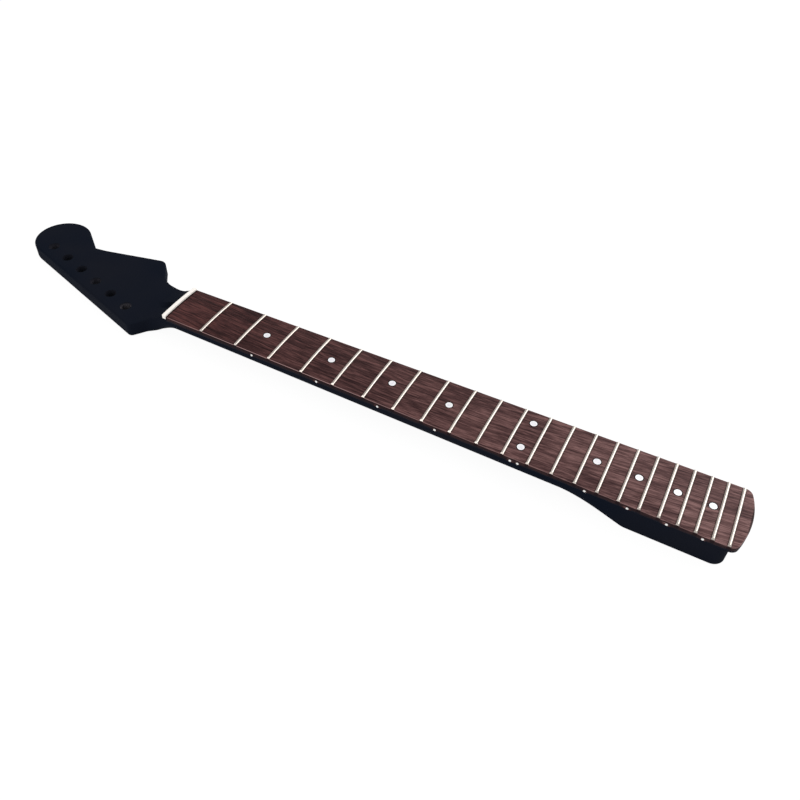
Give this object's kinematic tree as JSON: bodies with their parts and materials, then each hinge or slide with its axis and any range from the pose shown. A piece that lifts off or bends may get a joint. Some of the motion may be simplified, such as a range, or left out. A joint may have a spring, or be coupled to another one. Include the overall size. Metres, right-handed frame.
{
  "type": "electric guitar neck",
  "caption": "Bolt-on electric guitar neck with crowned rosewood fingerboard, frets, dots, nut, two-way truss rod and a black headstock drilled for tuners in one line.",
  "frame": {"origin": "centre of the heel's flat back, midway between the four neck screws", "axes": "+X along the neck towards the body end, +Y towards the treble side, +Z out of the fingerboard"},
  "size_m": [0.6712, 0.0947, 0.0269],
  "materials": {
    "black_lacquer": "maple under satin-gloss blue-black lacquer",
    "rosewood": "oiled open-grain rosewood",
    "nut_bone": "polished warm white",
    "nickel_silver": "polished nickel silver",
    "pearl": "imitation pearl",
    "side_white": "plain white plastic",
    "rod_steel": "oiled steel",
    "rod_brass": "plain machined brass"
  },
  "bodies": {
    "neck_body": {"neck": "black_lacquer", "fingerboard": "rosewood", "nut": "nut_bone", "fret_01": "nickel_silver", "fret_02": "nickel_silver", "fret_03": "nickel_silver", "fret_04": "nickel_silver", "fret_05": "nickel_silver", "fret_06": "nickel_silver", "fret_07": "nickel_silver", "fret_08": "nickel_silver", "fret_09": "nickel_silver", "fret_10": "nickel_silver", "fret_11": "nickel_silver", "fret_12": "nickel_silver", "fret_13": "nickel_silver", "fret_14": "nickel_silver", "fret_15": "nickel_silver", "fret_16": "nickel_silver", "fret_17": "nickel_silver", "fret_18": "nickel_silver", "fret_19": "nickel_silver", "fret_20": "nickel_silver", "fret_21": "nickel_silver", "fret_22": "nickel_silver", "dot_03": "pearl", "dot_05": "pearl", "dot_07": "pearl", "dot_09": "pearl", "dot_12_bass": "pearl", "dot_12_treble": "pearl", "dot_15": "pearl", "dot_17": "pearl", "dot_19": "pearl", "dot_21": "pearl", "side_dot_03": "side_white", "side_dot_05": "side_white", "side_dot_07": "side_white", "side_dot_09": "side_white", "side_dot_12_front": "side_white", "side_dot_12_rear": "side_white", "side_dot_15": "side_white", "side_dot_17": "side_white", "side_dot_19": "side_white", "side_dot_21": "side_white", "truss_rod_bar": "rod_steel", "truss_rod_front_block": "rod_brass", "truss_rod_rear_block": "rod_brass"},
    "truss_rod": {"truss_rod_adjuster": "rod_steel", "truss_rod_screw": "rod_steel"}
  },
  "joints": [
    {"name": "truss_rod_turn", "type": "hinge", "parent": "neck_body", "child": "truss_rod", "pos_m": [-0.4221, 0, 0.0122], "axis": [1, 0, 0], "range_deg": [-450, 450]}
  ]
}
